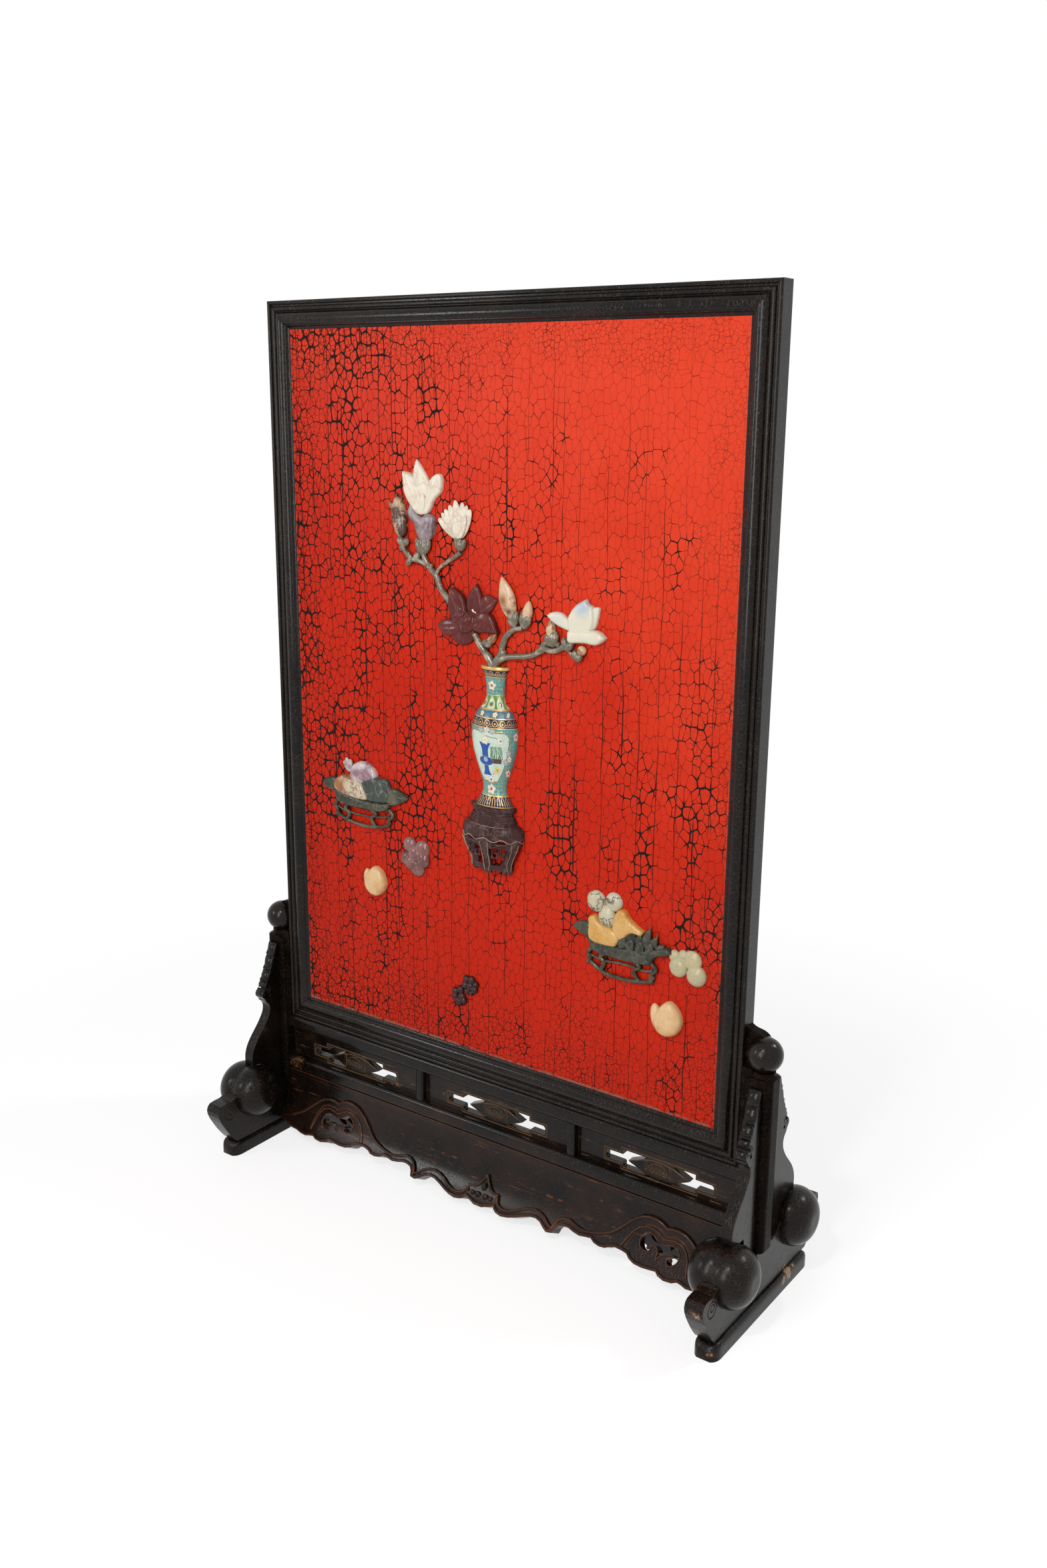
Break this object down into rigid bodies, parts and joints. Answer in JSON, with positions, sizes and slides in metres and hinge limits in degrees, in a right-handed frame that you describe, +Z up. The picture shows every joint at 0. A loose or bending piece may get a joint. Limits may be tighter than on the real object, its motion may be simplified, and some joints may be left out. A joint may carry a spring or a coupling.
{
  "type": "chinese lacquer screen",
  "caption": "Free-standing floor screen: framed vermilion lacquer panel with hardstone relief of vases, flowers and fruit, lifting out of a carved black stand with drum feet.",
  "frame": {"origin": "on the floor, under the middle of the stand", "axes": "+Z up, +X to the right along the panel, +Y to the back; the decorated face looks towards -Y"},
  "size_m": [1.087, 0.39, 1.5],
  "materials": {
    "black_lacquer": "aged black-brown lacquer over wood, soft sheen",
    "worn_lacquer": "black-brown lacquer worn to red-brown on the carved edges",
    "red_lacquer": "vermilion lacquer with a fine dark crackle",
    "plain_wood": "plain dark wood",
    "enamel": "turquoise, navy and green enamel between gold wires",
    "purple_stone": "polished dark purple-brown hardstone",
    "white_stone": "polished white hardstone with cream veins",
    "brown_stone": "polished brown and white hardstone",
    "grey_stone": "polished grey-violet hardstone",
    "maroon_stone": "polished maroon hardstone",
    "green_stone": "polished grey-green hardstone",
    "spinach_stone": "polished spinach-green hardstone",
    "agate": "polished banded agate",
    "orange_stone": "polished yellow-orange hardstone",
    "cream_stone": "polished cream hardstone",
    "pale_stone": "polished pale yellow-green hardstone",
    "garnet_stone": "polished garnet-brown hardstone"
  },
  "bodies": {
    "stand": {"left_foot": "black_lacquer", "right_foot": "black_lacquer", "left_front_drum": "black_lacquer", "left_back_drum": "black_lacquer", "right_front_drum": "black_lacquer", "right_back_drum": "black_lacquer", "left_runner": "black_lacquer", "right_runner": "black_lacquer", "left_post": "black_lacquer", "right_post": "black_lacquer", "left_finial": "black_lacquer", "right_finial": "black_lacquer", "left_front_spandrel": "black_lacquer", "left_back_spandrel": "black_lacquer", "right_front_spandrel": "black_lacquer", "right_back_spandrel": "black_lacquer", "upper_rail": "black_lacquer", "lower_rail": "black_lacquer", "left_muntin": "black_lacquer", "right_muntin": "black_lacquer", "left_openwork": "black_lacquer", "middle_openwork": "black_lacquer", "right_openwork": "black_lacquer", "front_apron": "worn_lacquer", "back_apron": "worn_lacquer"},
    "screen": {"frame_top_rail": "black_lacquer", "frame_bottom_rail": "black_lacquer", "frame_left_stile": "black_lacquer", "frame_right_stile": "black_lacquer", "lacquer_panel": "red_lacquer", "panel_battens": "plain_wood", "vase": "enamel", "vase_stand": "purple_stone", "left_branch": "green_stone", "right_branch": "green_stone", "left_magnolia": "white_stone", "daisy": "white_stone", "brown_bud": "brown_stone", "grey_bud": "grey_stone", "left_calyxes": "green_stone", "peony": "maroon_stone", "right_magnolia": "white_stone", "right_buds": "brown_stone", "right_calyxes": "green_stone", "left_tray": "spinach_stone", "left_tray_stand": "spinach_stone", "agate_fruit": "agate", "green_fruit": "spinach_stone", "pomegranate": "grey_stone", "grapes": "garnet_stone", "left_peach": "cream_stone", "dark_berries": "garnet_stone", "right_tray": "spinach_stone", "right_tray_stand": "spinach_stone", "leaf_spray": "spinach_stone", "orange_fruits": "orange_stone", "spotted_fruits": "cream_stone", "pale_fruits": "pale_stone", "right_peach": "cream_stone"}
  },
  "joints": [
    {"name": "screen_lift", "type": "slide", "parent": "stand", "child": "screen", "axis": [0, 0, 1], "range_m": [0, 0.16]}
  ]
}
